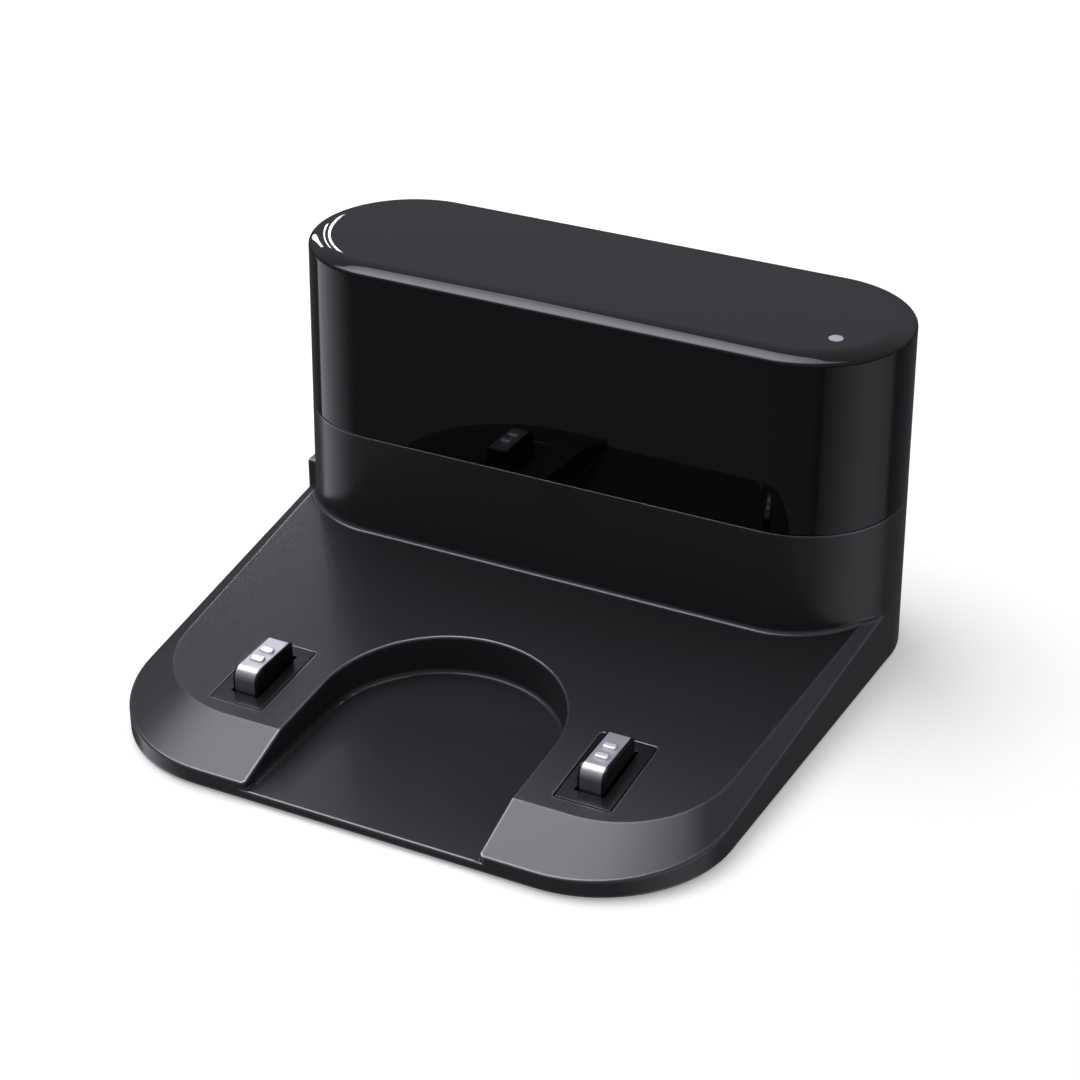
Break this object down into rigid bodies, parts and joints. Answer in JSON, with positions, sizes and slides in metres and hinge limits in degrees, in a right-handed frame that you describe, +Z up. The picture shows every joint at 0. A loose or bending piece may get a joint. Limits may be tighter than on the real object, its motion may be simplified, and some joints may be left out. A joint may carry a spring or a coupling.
{
  "type": "robot vacuum charging dock",
  "caption": "Low charging dock with a sloping platform, a round bay, sprung strip contacts and a rounded upright tower behind.",
  "frame": {"origin": "middle of the dock's outline on the surface that it stands on", "axes": "+X along the tower, to the right as seen from the robot's side; +Y to the rear; +Z up"},
  "size_m": [0.1512, 0.1422, 0.0822],
  "materials": {
    "housing_plastic": "satin black moulding",
    "gloss_cover": "mirror-gloss black, passes infrared",
    "clear_light_pipe": "clear rod, lit pale from below",
    "contact_plastic": "fine satin black",
    "nickel_strip": "bright nickel plate",
    "spring_steel": "drawn wire",
    "foot_rubber": "matt grey-black rubber",
    "zinc_screws": "zinc plated",
    "ballast_steel": "plain cut steel",
    "circuit_board": "green solder resist",
    "connector_plastic": "natural white",
    "inlet_plastic": "black",
    "pin_metal": "nickel-plated brass",
    "capacitor_sleeve": "dark sleeve over a can",
    "ferrite": "dull dark grey",
    "winding_tape": "yellow tape over copper wire",
    "filter_wire": "enamelled copper wire",
    "fuse_case": "brown moulded case",
    "heat_sink_metal": "bare sheet",
    "transistor_case": "black epoxy",
    "shroud_plastic": "black",
    "emitter_resin": "smoky clear resin",
    "led_resin": "white resin",
    "lead_sleeve": "black soft plastic sleeve"
  },
  "bodies": {
    "dock": {"base_housing": "housing_plastic", "bottom_cover": "housing_plastic", "beacon_shelf": "housing_plastic", "tower_cover": "gloss_cover", "status_light_pipe": "clear_light_pipe", "contact_bezel_left": "contact_plastic", "contact_bezel_right": "contact_plastic", "contact_terminal_left": "nickel_strip", "contact_terminal_right": "nickel_strip", "contact_spring_left": "spring_steel", "contact_spring_right": "spring_steel", "foot_front_left": "foot_rubber", "foot_front_right": "foot_rubber", "foot_rear_left": "foot_rubber", "foot_rear_right": "foot_rubber", "bottom_screws": "zinc_screws", "board_screws": "zinc_screws", "ballast_plate": "ballast_steel", "power_board": "circuit_board", "beacon_board": "circuit_board", "output_header": "connector_plastic", "beacon_header": "connector_plastic", "mains_inlet": "inlet_plastic", "inlet_pins": "pin_metal", "mains_capacitor": "capacitor_sleeve", "output_capacitor": "capacitor_sleeve", "transformer_core": "ferrite", "transformer_winding": "winding_tape", "line_filter_coil": "filter_wire", "board_fuse": "fuse_case", "heat_sink": "heat_sink_metal", "switching_transistor": "transistor_case", "emitter_shroud": "shroud_plastic", "infrared_emitter_left": "emitter_resin", "infrared_emitter_middle": "emitter_resin", "infrared_emitter_right": "emitter_resin", "status_led": "led_resin", "contact_lead_left": "lead_sleeve", "contact_lead_right": "lead_sleeve", "inlet_leads": "lead_sleeve", "beacon_cable": "lead_sleeve"},
    "contact_left": {"contact_carrier_left": "contact_plastic", "contact_strip_left": "nickel_strip"},
    "contact_right": {"contact_carrier_right": "contact_plastic", "contact_strip_right": "nickel_strip"}
  },
  "joints": [
    {"name": "contact_left_press", "type": "slide", "parent": "dock", "child": "contact_left", "axis": [0, 0, 1], "range_m": [-0.003, 0], "stiffness_N_per_m": 300, "springref_m": 0.002, "deforming": ["contact_spring_left"]},
    {"name": "contact_right_press", "type": "slide", "parent": "dock", "child": "contact_right", "axis": [0, 0, 1], "range_m": [-0.003, 0], "stiffness_N_per_m": 300, "springref_m": 0.002, "deforming": ["contact_spring_right"]}
  ]
}
